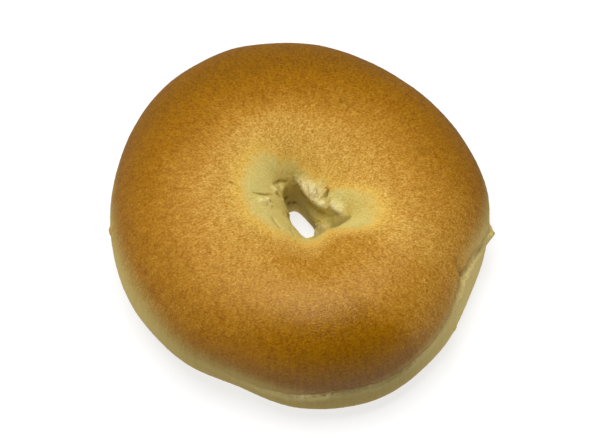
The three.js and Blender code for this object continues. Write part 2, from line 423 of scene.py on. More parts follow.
HOLE_TRACES = (
    Trace("valley from the hole", ((4, -2, 17), (9, -5, 24), (13, -6.5, 29), (17.5, -7, 34)), -2.2, 2.6),
    Trace(
        "fold in the valley",
        ((6.9, -1.9, 16.6), (8.2, -2.5, 18.5), (10.0, -3.3, 20.8), (12.5, -3.6, 23.5), (14.2, -3.8, 25.6)),
        -0.8, 0.6, shade=0.75,
    ),
    Trace(
        "long roll",
        ((-1.6, 9.2, 22.8), (0.6, 8.2, 23.4), (2.7, 6.5, 24.2), (4.7, 5.1, 24.4), (6.6, 3.5, 24.1)),
        1.0, 2.0, crumbly=0.35, floury=1.0,
    ),
    Trace(
        "face of the long roll",
        (
            (0.6, 7.9, 22.2), (2.0, 6.3, 22.2), (3.4, 4.8, 21.9),
            (5.0, 3.5, 21.6), (6.3, 2.3, 21.8), (7.9, 1.0, 22.2),
        ),
        1.1, 1.8, crumbly=0.35, floury=1.0,
    ),
    Trace(
        "first crease of the roll",
        ((0.3, 8.7, 24.4), (0.9, 7.9, 23.4), (1.1, 7.3, 22.2)),
        -0.35, 0.3, shade=0.15,
    ),
    Trace(
        "second crease of the roll",
        ((2.3, 7.3, 25.1), (3.0, 6.3, 24.0), (3.3, 5.3, 22.0)),
        -0.8, 0.35, shade=0.6,
    ),
    Trace(
        "third crease of the roll",
        ((4.6, 5.8, 25.4), (5.0, 4.8, 23.9), (5.2, 3.8, 21.8)),
        -0.8, 0.35, shade=0.6,
    ),
    Trace(
        "short roll",
        ((8.4, 1.5, 23.7), (10.0, 0.3, 24.0), (11.5, -0.9, 24.3), (13.0, -2.0, 24.8)),
        1.1, 1.9, crumbly=0.3, floury=1.0,
    ),
    Trace(
        "hollow under the rolls",
        ((-1.0, 8.6, 16.6), (1.0, 6.8, 16.6), (3.4, 3.7, 17.2), (5.9, 1.5, 17.6), (9.6, -1.6, 19.0)),
        -0.7, 1.9,
    ),
    # painted shade on the end of the wall
    Trace(
        "dim end of the wall",
        ((4.8, 1.7, 18.5), (6.9, -1.4, 17.0), (8.6, -2.2, 19.2), (10.8, -2.4, 22.0), (12.3, -2.8, 23.6)),
        0.0, 2.2, shade=0.25,
    ),
    Trace(
        "step between the rolls",
        ((7.4, 5.1, 26.5), (7.8, 4.3, 26.0), (7.5, 3.7, 25.2), (7.1, 3.0, 24.1), (6.9, 2.3, 22.9)),
        -1.0, 0.5, shade=0.7,
    ),
    Trace(
        "fold over the lobe",
        ((-7.6, 4.7, 28.9), (-5.5, 7.6, 25.1), (-3.4, 8.4, 23.4)),
        -0.5, 0.5, shade=0.3,
    ),
    Trace("lobe in the hole", ((-5.8, 6.3, 24.6), (-5.0, 6.8, 20.8)), 0.9, 1.3),
    Trace(
        "fold by the lobe",
        ((-7.0, 3.3, 27.8), (-6.0, 3.1, 26.1), (-5.2, 2.5, 24.0)),
        -0.8, 0.45, shade=0.55,
    ),
    Trace(
        "split by the hole",
        ((-13.6, -1.0, 34.4), (-11.2, -0.4, 32.5), (-9.5, 0.3, 30.8), (-7.4, 1.8, 28.2)),
        -0.5, 0.25, shade=0.7,
    ),
    Trace("bump under the split", ((-10.9, -2.5, 32.5),), 1.0, 0.8, crumbly=1.0, floury=0.5),
    Trace("second bump", ((-10.0, -2.8, 31.6),), 1.1, 0.8, crumbly=1.0, floury=0.5),
    Trace("third bump", ((-8.7, -2.8, 30.2),), 1.0, 0.7, crumbly=1.0, floury=0.5),
    Trace("fourth bump", ((-9.1, -1.0, 30.3),), 0.9, 0.7, crumbly=1.0, floury=0.5),
    Trace(
        "bumps along the rim",
        ((-7.7, 3.9, 29.2), (-7.3, 3.2, 28.3), (-7.0, 2.4, 27.8)),
        0.9, 0.6, crumbly=1.0, floury=0.5,
    ),
    Trace("crumb in the hole", ((5.1, -9.3, 25.3),), 1.3, 1.0, crumbly=1.0, shade=0.8, floury=0.4),
    Trace("second crumb", ((6.3, -8.4, 25.4),), 1.5, 1.1, crumbly=1.0, shade=0.8, floury=0.45),
    Trace("third crumb", ((7.4, -8.2, 26.4),), 0.9, 0.9, crumbly=1.0, shade=0.8, floury=0.4),
    # painted shade on the rim by the crumbs
    Trace("dim rim by the crumbs", ((6.0, -9.2, 26.0),), 0.0, 2.4, crumbly=0.8, shade=0.9, floury=0.15),
    Trace(
        "gap beside the crumbs",
        ((4.2, -8.9, 23.7), (5.2, -8.0, 23.9), (6.4, -7.0, 23.4)),
        -0.6, 0.5, shade=1.0,
    ),
    Trace(
        "gap under the crumbs",
        ((5.0, -10.6, 26.9), (6.1, -9.8, 27.1), (7.6, -8.9, 27.2)),
        -0.4, 0.5, shade=0.8,
    ),
    Trace(
        "worn side of the hole",
        ((-3.3, 0.5, 19.0), (-2.6, -1.6, 18.6), (-1.6, -3.4, 18.6), (-0.7, -5.0, 18.6)),
        -0.9, 3.4,
    ),
    Trace(
        "left crease", ((-7.8, -6.8, 31.6), (-6.6, -9.2, 32.1), (-5.1, -11.4, 32.4)), -0.5, 0.6, shade=0.4
    ),
    Trace(
        "near crease", ((-2.7, -7.6, 26.6), (-2.2, -9.9, 28.1), (-1.5, -11.9, 29.2)), -0.4, 0.5, shade=0.4
    ),
    Trace("first pore", ((-4.0, 7.4, 15.9),), -0.7, 0.6, shade=0.9),
    Trace("second pore", ((-3.1, 7.9, 11.9),), -0.7, 0.6, shade=0.9),
    Trace("third pore", ((-1.7, 8.6, 10.7),), -0.6, 0.6, shade=0.9),
    Trace("fourth pore", ((-4.5, -2.4, 24.4),), -0.5, 0.6, shade=0.9),
)
# shade= paints shade into a trace's crease, seam or pit
SIDE_TRACES = (
    Trace(
        "seam of the dough",
        (
            (42.7, -20.0, 31.1), (43.4, -21.7, 29.7), (44.8, -23.2, 27.0),
            (45.2, -24.9, 23.8), (44.6, -26.8, 22.6),
        ),
        -0.9, 0.75, shade=0.4,
    ),
    Trace("lip of the seam", ((41.8, -21.6, 31.5), (43.0, -23.3, 29.5), (43.9, -25.4, 26.8)), 0.6, 1.4),
    Trace(
        "fold beside the seam",
        ((45.1, -23.4, 26.2), (47.6, -18.9, 23.9), (51.2, -11.1, 20.1), (53.2, -6.7, 17.4)),
        -0.5, 0.9, shade=0.2,
    ),
    Trace("pit at the back", ((12.1, 26.0, 39.1),), -0.5, 0.45, shade=1.0),
    Trace("pit in front", ((37.8, -35.6, 28.1),), -0.4, 0.45, shade=1.0),
    Trace(
        "short crease on the left",
        ((-19.8, 0.7, 37.8), (-18.6, 0.4, 37.6), (-17.5, 0.2, 37.4), (-16.0, 0.0, 37.0)),
        -0.8, 0.4, shade=1.0,
    ),
    Trace("right nub", ((54.2, -4.6, 16.5),), 1.9, 2.2, crumbly=1.0),
    Trace("left nub", ((-53.7, -6.8, 22.4),), 0.9, 1.5, crumbly=1.0),
    Trace("lower right nub", ((43.6, -33.4, 13.5),), 1.2, 2.0, crumbly=1.0),
)


@dataclass
class Grid:
    """The ring's skin as a closed grid of points, columns round the hole by rows."""

    bearing: np.ndarray
    reach: np.ndarray
    width: np.ndarray
    points: np.ndarray
    values: dict[Skin, np.ndarray] = field(default_factory=dict)

    def normals(self) -> np.ndarray:
        """Give the way out of the skin.

        Returns:
            The direction at each point, 1 long.
        """
        round_step = np.roll(self.points, -1, 0) - np.roll(self.points, 1, 0)
        row_step = np.roll(self.points, -1, 1) - np.roll(self.points, 1, 1)
        direction = np.cross(row_step, round_step)
        return direction / np.linalg.norm(direction, axis=-1, keepdims=True)

    def outer(self) -> np.ndarray:
        """Tell which points lie on the ring's outer half."""
        return self.reach > OUTER_SHARE * self.width


@dataclass
class DoughRing:
    """The ring of dough: its sizes, and the skin that they make."""

    outline: Outline = Outline()
    hole: HoleSlot = HoleSlot()
    section: Section = Section()
    dish: Dish = Dish()
    edge: CrustEdge = CrustEdge()
    foot: Foot = Foot()
    traces: tuple[Trace, ...] = HOLE_TRACES + SIDE_TRACES
    columns: int = 498
    rows_above: int = 56  # crest to the crust's edge
    rows_below: int = 34  # crust's edge to the base
    rows_base: int = 8
    rows_throat: int = 18
    rows_mouth: int = 84
    fineness: int = 6  # trial rows a row, while they are being spaced
    crowd_below: float = 1.4  # how the rows crowd together under the crust's edge
    crowd_mouth: float = 1.25  # and above the waist

    def _row_shares(self, count: int) -> np.ndarray:
        """Give shares from 0 up to, but without, 1, one a row."""
        return (np.arange(count) / count)[None, :]

    def _even_rows(self, reach: np.ndarray, height: np.ndarray, crowd: float) -> Curve:
        """Space the rows of a stretch of section evenly along its own length.

        Args:
            reach: reach of each row's points, one more row than is kept.
            height: their heights.
            crowd: 1 for even rows, more to crowd them at the stretch's start.

        Returns:
            Reach and height again, without the last row, which starts the next stretch.
        """
        steps = np.hypot(np.diff(reach, axis=1), np.diff(height, axis=1))
        passed = np.concatenate([np.zeros((len(reach), 1)), np.cumsum(steps, axis=1)], axis=1)
        count = (reach.shape[1] - 1) // self.fineness
        shares = (np.arange(count) / count) ** crowd
        spaced = [np.interp(shares * line[-1], line, run) for line, run in zip(passed, reach)]
        raised = [np.interp(shares * line[-1], line, run) for line, run in zip(passed, height)]
        return np.array(spaced), np.array(raised)

    def _side(self, bearing: np.ndarray, width: np.ndarray) -> Curve:
        """Make the shoulder and flank, whose rows follow the crust's edge.

        Args:
            bearing: one column of bearings.
            width: from the waist to the outline there.

        Returns:
            Reach from the waist and height, one row of each a row of points.
        """
        top = self.section.crest.at(bearing)
        middle = self.section.equator.at(bearing)
        edge = self.edge.height.at(bearing)
        crest = self.section.crest_share * width
        shoulder_share = np.clip((edge - middle) / (top - middle), 0, 1)
        above = np.arccos(shoulder_share ** (self.section.shoulder_roundness / 2))
        flank_share = np.clip((middle - edge) / middle, 0, 1)
        below = np.arcsin(flank_share ** (self.section.flank_roundness / 2))
        quarter = math.pi / 2
        edge_turn = np.where(edge >= middle, above, quarter + below)
        upper = edge_turn * np.linspace(0, 1, self.rows_above * self.fineness + 1)
        lower = edge_turn + (math.pi - edge_turn) * np.linspace(0, 1, self.rows_below * self.fineness + 1)
        turn = np.concatenate([upper, lower], axis=1)
        shoulder_turn = np.clip(turn, 0, quarter)
        flank_turn = np.clip(turn - quarter, 0, quarter)
        shoulder_power = 2 / self.section.shoulder_roundness
        flank_power = 2 / self.section.flank_roundness
        tuck = self.section.tuck.at(bearing)
        shoulder_reach = crest + (width - crest) * np.sin(shoulder_turn) ** shoulder_power
        shoulder_height = middle + (top - middle) * np.cos(shoulder_turn) ** shoulder_power
        flank_reach = width - tuck * (1 - np.cos(flank_turn) ** flank_power)
        flank_height = middle * (1 - np.sin(flank_turn) ** flank_power)
        reach = np.where(turn <= quarter, shoulder_reach, flank_reach)
        height = np.where(turn <= quarter, shoulder_height, flank_height)
        cut = upper.shape[1]
        above_edge = self._even_rows(reach[:, :cut], height[:, :cut], 1.0)
        below_edge = self._even_rows(reach[:, cut:], height[:, cut:], self.crowd_below)
        joined = [np.concatenate(pair, axis=1) for pair in zip(above_edge, below_edge)]
        return joined[0], joined[1]

    def _base(self, bearing: np.ndarray, width: np.ndarray) -> Curve:
        """Make the flat base, from the outside in.

        Args:
            bearing: one column of bearings.
            width: from the waist to the outline there.

        Returns:
            Reach from the waist and height.
        """
        share = self._row_shares(self.rows_base)
        outside = width - self.section.tuck.at(bearing)
        reach = outside * (1 - share) + self.section.hole_tuck.at(bearing) * share
        return reach, np.zeros_like(reach)

    def _throat(self, bearing: np.ndarray) -> Curve:
        """Make the throat, from the base up to the waist.

        Args:
            bearing: one column of bearings.

        Returns:
            Reach from the waist and height.
        """
        turn = self._row_shares(self.rows_throat) * math.pi / 2 + 0 * bearing
        reach = self.section.hole_tuck.at(bearing) * (1 - np.sin(turn))
        return reach, self.section.waist * (1 - np.cos(turn))

    def _mouth(self, bearing: np.ndarray, width: np.ndarray) -> Curve:
        """Make the mouth, from the waist up to the crest.

        Args:
            bearing: one column of bearings.
            width: from the waist to the outline there.

        Returns:
            Reach from the waist and height.
        """
        turn = np.linspace(0, math.pi / 2, self.rows_mouth * self.fineness + 1) + 0 * bearing
        power = 2 / self.section.mouth_roundness.at(bearing)
        rise = self.section.crest.at(bearing) - self.section.waist
        reach = self.section.crest_share * width * (1 - np.cos(turn) ** power)
        height = self.section.waist + rise * np.sin(turn) ** power
        return self._even_rows(reach, height, self.crowd_mouth)

    def smooth_grid(self) -> Grid:
        """Make the ring's skin before its creases and lumps.

        Returns:
            The skin, in mm.
        """
        bearing = (np.arange(self.columns) * 2 * math.pi / self.columns)[:, None]
        outer = self.outline.radius(bearing)
        waist = self.hole.radius(bearing)
        heading = np.stack([np.cos(bearing), np.sin(bearing)], axis=-1)
        inside = np.array([self.hole.x, self.hole.y]) + waist[..., None] * heading
        across = outer[..., None] * heading - inside
        width = np.linalg.norm(across, axis=-1)
        parts = [
            self._side(bearing, width),
            self._base(bearing, width),
            self._throat(bearing),
            self._mouth(bearing, width),
        ]
        reach = np.concatenate([part[0] for part in parts], axis=1)
        height = np.concatenate([part[1] for part in parts], axis=1)
        share = (reach / width)[..., None]
        place = inside + share * across
        rise = self.section.crest.at(bearing) - self.section.waist
        sink = np.clip((height - self.section.waist) / rise, 0, 1)
        height = height - self.dish.drop(place[..., 0], place[..., 1]) * sink
        outer_half = reach > OUTER_SHARE * width
        change = self.edge.reach_change(bearing, height) + self.foot.reach_change(bearing, height)
        moved = reach + np.where(outer_half, change, 0.0)
        place = inside + (moved / width)[..., None] * across
        points = np.concatenate([place, height[..., None]], axis=-1)
        return Grid(bearing + 0 * reach, moved, width + 0 * reach, points)

    def grid(self) -> Grid:
        """Make the ring's skin with its creases and lumps.

        Returns:
            The skin, in mm.
        """
        skin = self.smooth_grid()
        rise = np.zeros(skin.reach.shape)
        # SHADE gathers the traces' painted shade
        shares = {Skin.CRUMBLY: rise, Skin.SHADE: rise, Skin.FLOURY: rise}
        for trace in self.traces:
            near = trace.nearness(skin.points)
            rise = rise + trace.rise * near
            for value in shares:
                shares[value] = np.maximum(shares[value], getattr(trace, value.value) * near)
        skin.points = skin.points + skin.normals() * rise[..., None]
        skin.points[..., 2] = np.maximum(skin.points[..., 2], 0.0)
        skin.values.update(shares)
        return skin


@dataclass(frozen=True)
class Browning:
    """How baking left each part of the skin, and its painted shade, by reach from the hole's waist and
    height, mm.
    """

    pale_end: RoundSize = RoundSize(  # reach where the pale dough round the hole ends
        -3.0,
        (
            Hill(115, 15, -2.6), Hill(203, 111, 18.3), Hill(345, 33, 19.9),
            Hill(35, 18, 2.5), Hill(48, 20, 4.0),
        ),
    )
    pale_fade: float = 5.0
    wall_fade: Span = (0.5, 5.5)  # the hole's own wall stayed pale
    gold_end: RoundSize = RoundSize(  # reach where gold starts to brown
        11.9, (Hill(62, 74, -3.7), Hill(325, 23, -28.1), Hill(329, 12, 34.3))
    )
    brown_start: RoundSize = RoundSize(  # reach where it is brown
        81.0, (Hill(106, 115, -56.4), Hill(304, 62, -51.1), Hill(329, 26, 66.6))
    )
    most: float = 1.5  # where 1 is brown
    plateau_and_highlight: RoundSize = RoundSize(-0.5, (Hill(290, 56, 1.6),))  # how it lingers half-way; over the front crest partly lighter golden crust and partly a painted highlight
    haste: float = 0.96  # under 1, it comes on fast and then slows
    satin: RoundSize = RoundSize(0.1, (Hill(290, 60, 0.9), Hill(190, 40, 0.5)))
    side_start: RoundSize = RoundSize(  # height where the dull side starts, from above
        27.0, (Hill(285, 30, -5.0), Hill(205, 35, 4.0), Hill(339, 25, 5.0), Hill(90, 50, -3.0))
    )
    side_end: RoundSize = RoundSize(  # height where it is wholly dull
        17.0, (Hill(270, 35, -2.0), Hill(205, 35, 2.0), Hill(345, 25, 2.0), Hill(90, 50, -10.0))
    )
    side_tone: RoundSize = RoundSize(0.0, (Hill(200, 30, 0.4), Hill(336, 29, 1.0)))  # its paleness
    ledge_tone: RoundSize = RoundSize(0.5, (Hill(273, 11, 0.5),))  # paleness of the dough under the edge
    ledge_drop: float = 1.3  # mm from the crust's edge down to the middle of that dough
    ledge_width: float = 1.4
    ledge_flour: float = 0.6
    shadow_line_rise: float = 1.9  # mm from the crust's edge up to the painted shadow line along it
    shadow_line_width: float = 0.7
    base_bake: float = 0.42  # the flat base browned evenly on the tray
    base_side: float = 0.25
    base_fade: Span = (0.2, 4.0)  # height
    throat_end: Span = (0.5, 3.0)  # reach, of the rough wall in the hole
    throat_start: Span = (4.0, 10.0)  # height
    throat_crumbs: float = 0.3
    deep_end: Span = (0.0, 3.2)  # reach, of the painted shade deep in the hole
    deep_top: Span = (10.0, 18.0)  # height
    deep_shade: float = 0.12
    stretch_reach: float = 4.0  # middle of the stretched dough at the mouth of the hole
    stretch_width: float = 3.0
    stretch_height: float = 14.0  # and its lowest height

    def bake(self, skin: Grid) -> np.ndarray:
        """Give how far the skin is browned.

        Args:
            skin: the ring's skin.

        Returns:
            0 for pale dough to 1 for brown crust, and a little over, at each point.
        """
        pale = self.pale_end.at(skin.bearing)
        gold = self.gold_end.at(skin.bearing)
        brown = self.brown_start.at(skin.bearing)
        golden = smooth_step(skin.reach, pale - self.pale_fade, pale + self.pale_fade)
        golden = golden * smooth_step(skin.reach, *self.wall_fade)
        browned = np.clip((skin.reach - gold) / (brown - gold), 0, self.most)
        lingering = np.sin(2 * np.pi * np.minimum(browned, 1)) / (2 * np.pi)
        # the front hill of the plateau partly paints the crest's highlight
        browned = (browned + self.plateau_and_highlight.at(skin.bearing) * lingering) ** self.haste
        based = self.based(skin)
        return (golden + browned) / 2 * (1 - based) + self.base_bake * based

    def based(self, skin: Grid) -> np.ndarray:
        """Give how near each point is to the base: 1 on it and 0 above it."""
        return 1 - smooth_step(skin.points[..., 2], *self.base_fade)

    def side(self, skin: Grid) -> np.ndarray:
        """Give how far each point lies on the dull, unbrowned side.

        Args:
            skin: the ring's skin.

        Returns:
            0 on the top to 1 low down, at each point.
        """
        start = self.side_start.at(skin.bearing)
        end = self.side_end.at(skin.bearing)
        low = 1 - smooth_step(skin.points[..., 2], end, start)
        based = self.based(skin)
        return low * skin.outer() * (1 - based) + self.base_side * based

    def along_edge(self, skin: Grid, edge: CrustEdge) -> tuple[np.ndarray, np.ndarray]:
        """Give what runs along the crust's edge, where it overhangs.

        Args:
            skin: the ring's skin.
            edge: the crust's edge.

        Returns:
            How far each point shows the pale dough under it, and the painted shadow line on it.
        """
        off = edge.climb(skin.bearing, skin.points[..., 2])
        there = np.sqrt(edge.ledge(edge.undercut.at(skin.bearing))) * skin.outer()
        sunk = (off + self.ledge_drop) / self.ledge_width
        from_shadow_line = (off - self.shadow_line_rise) / self.shadow_line_width
        shelf = there * self.ledge_tone.at(skin.bearing) * np.exp(-(sunk**2))
        return shelf, there * np.exp(-(from_shadow_line**2))

    def throat(self, skin: Grid) -> np.ndarray:
        """Give how far each point lies on the rough wall in the hole."""
        far = smooth_step(skin.reach, *self.throat_end)
        return (1 - far) * smooth_step(skin.points[..., 2], *self.throat_start)

    def deep(self, skin: Grid) -> np.ndarray:
        """Give how far each point lies deep in the hole, where shade is painted."""
        low = 1 - smooth_step(skin.points[..., 2], *self.deep_top)
        return (1 - smooth_step(skin.reach, *self.deep_end)) * low * ~skin.outer()

    def stretched(self, skin: Grid) -> np.ndarray:
        """Give how far the dough was stretched into folds, at the mouth of the hole."""
        off = (skin.reach - self.stretch_reach) / self.stretch_width
        return np.exp(-(off**2)) * (skin.points[..., 2] > self.stretch_height) * ~skin.outer()


@dataclass(frozen=True)
class SkinRelief:
    """Geometry Nodes tree for the relief that repeats all over the skin.

    Blisters and crumbs are scattered over the skin and pushed out of it as low
    domes; stretch wrinkles follow the grain; slow swells keep the ring uneven. The
    sizes are in millimetres.
    """

    swell_size: float = 11.0
    swell_height: float = 0.35
    blister_gap: float = 1.7
    blister_radius: float = 1.0
    blister_height: float = 0.07
    crumb_gap: float = 1.1
    crumb_radius: float = 0.75
    crumb_height: float = 0.6
    wrinkle_height: float = 0.6
    wrinkle_scale: float = 0.45  # in the grain
    smallest_dome: float = 0.35  # of the full size
    densest: float = 4.0e6  # domes a square metre, before their gap thins them
    dome: Ease = Ease(0.0, 1.0, 1.0, 0.0)
    base_fade: Ease = Ease(0.0005, 0.004)  # m above the flat base
    seed: int = 7

    def _sizes(self) -> dict[str, float]:
        """Give the tree's sizes.

        Returns:
            Each by the name of the input that it goes to, mm.
        """
        names = ("swell_size", "swell_height", "blister_gap", "blister_radius", "blister_height")
        names += ("crumb_gap", "crumb_radius", "crumb_height", "wrinkle_height")
        return {name.replace("_", " ").capitalize(): getattr(self, name) for name in names}

    def _tree(self) -> bpy.types.NodeTree:
        """Build the tree, with its sizes as named inputs in metres.

        Returns:
            The tree.
        """
        tree = bpy.data.node_groups.new("dough skin relief", "GeometryNodeTree")
        add = partial(add_node, tree)
        face = tree.interface
        face.new_socket("Geometry", in_out="INPUT", socket_type="NodeSocketGeometry")
        for name in self._sizes():
            face.new_socket(name, in_out="INPUT", socket_type="NodeSocketFloat")
        face.new_socket("Seed", in_out="INPUT", socket_type="NodeSocketInt")
        face.new_socket("Crust", in_out="INPUT", socket_type="NodeSocketMaterial")
        face.new_socket("Geometry", in_out="OUTPUT", socket_type="NodeSocketGeometry")
        given = add("NodeGroupInput").node.outputs
        crumbly, wrinkled, grain = (
            add("GeometryNodeInputNamedAttribute", {"Name": name.value}, data_type=kind)
            for name, kind in (
                (Skin.CRUMBLY, "FLOAT"),
                (Skin.WRINKLED, "FLOAT"),
                (Skin.GRAIN, "FLOAT_VECTOR"),
            )
        )
        rise = self._domes(add, given, "Blister")
        crumbs = self._domes(add, given, "Crumb")
        crumb_rise = add("ShaderNodeMath", {0: crumbs, 1: crumbly}, operation="MULTIPLY")
        rise = add("ShaderNodeMath", {0: rise, 1: crumb_rise}, operation="ADD")
        swell_scale = add("ShaderNodeMath", {0: 1.0, 1: given["Swell size"]}, operation="DIVIDE")
        swells = add("ShaderNodeTexNoise", {"Scale": swell_scale, "Detail": 2.0, "Roughness": 0.4})
        folds = add("ShaderNodeTexNoise", {"Vector": grain, "Scale": self.wrinkle_scale, "Detail": 2.0})
        for noise, *shares in ((swells, given["Swell height"]), (folds, wrinkled, given["Wrinkle height"])):
            part = add("ShaderNodeMath", {0: noise, 1: NOISE_MIDDLE}, operation="SUBTRACT")
            for share in shares:
                part = add("ShaderNodeMath", {0: part, 1: share}, operation="MULTIPLY")
            rise = add("ShaderNodeMath", {0: rise, 1: part}, operation="ADD")
        place = add("GeometryNodeInputPosition")
        height = add("ShaderNodeSeparateXYZ", {0: place}, output="Z")
        lifted = add("ShaderNodeMapRange", self.base_fade.inputs(height))
        kept = add("ShaderNodeMath", {0: rise, 1: lifted}, operation="MULTIPLY")
        outward = add("GeometryNodeInputNormal")
        offset = add("ShaderNodeVectorMath", {0: outward, "Scale": kept}, operation="SCALE")
        raised = add("GeometryNodeSetPosition", {"Geometry": given["Geometry"], "Offset": offset})
        real = add("GeometryNodeRealizeInstances", {0: raised})
        dressed = add("GeometryNodeSetMaterial", {"Geometry": real, "Material": given["Crust"]})
        add("NodeGroupOutput", {0: dressed})
        return tree

    def _domes(self, add: Adder, given: bpy.types.bpy_prop_collection, kind: str) -> Socket:
        """Scatter low domes of one kind over the skin.

        Args:
            add: what adds a node to the relief's tree.
            given: the tree's named inputs.
            kind: the first word of the names of their sizes.

        Returns:
            Their rise at each point of the skin, metres.
        """
        skin, gap, seed = (given[name] for name in ("Geometry", f"{kind} gap", "Seed"))
        spots = add(
            "GeometryNodeDistributePointsOnFaces",
            {"Mesh": skin, "Distance Min": gap, "Density Max": self.densest, "Seed": seed},
            distribute_method="POISSON",
            output="Points",
        )
        size = add("FunctionNodeRandomValue", {2: self.smallest_dome, 3: 1.0, "Seed": seed}, output=1)
        near = add("GeometryNodeProximity", {0: spots}, target_element="POINTS", output="Distance")
        which = add("GeometryNodeSampleNearest", {0: spots})
        sized = add("GeometryNodeSampleIndex", {"Geometry": spots, 1: size, "Index": which})
        radius = add("ShaderNodeMath", {0: given[f"{kind} radius"], 1: sized}, operation="MULTIPLY")
        off = add("ShaderNodeMath", {0: near, 1: radius}, operation="DIVIDE")
        rise = add("ShaderNodeMapRange", self.dome.inputs(off), interpolation_type="SMOOTHSTEP")
        for share in (sized, given[f"{kind} height"]):
            rise = add("ShaderNodeMath", {0: rise, 1: share}, operation="MULTIPLY")
        return rise

    def apply(self, piece: bpy.types.Object, crust: bpy.types.Material) -> None:
        """Put the relief into a piece's own mesh.

        Args:
            piece: the object that gets it.
            crust: the material that its faces get.
        """
        modifier = piece.modifiers.new("skin relief", "NODES")
        modifier.node_group = self._tree()
        values: dict[str, object] = {name: size * MILLIMETRE for name, size in self._sizes().items()}
        values.update({"Seed": self.seed, "Crust": crust})
        for item in modifier.node_group.interface.items_tree:
            if item.name in values:
                modifier[item.identifier] = values[item.name]
        seen = bpy.context.evaluated_depsgraph_get()
        finished = bpy.data.meshes.new_from_object(piece.evaluated_get(seen), depsgraph=seen)
        piece.modifiers.remove(modifier)
        piece.data = finished


# ---------------------------------------------------------------- finishes


@dataclass(frozen=True)
class Mottle:
    """One size of mottling on the crust."""

    size: float  # mm
    weight: float  # what its light spots add to the browning
    drawn: Point = (1.0, 1.0, 1.0)  # under 1, it is drawn out along that axis


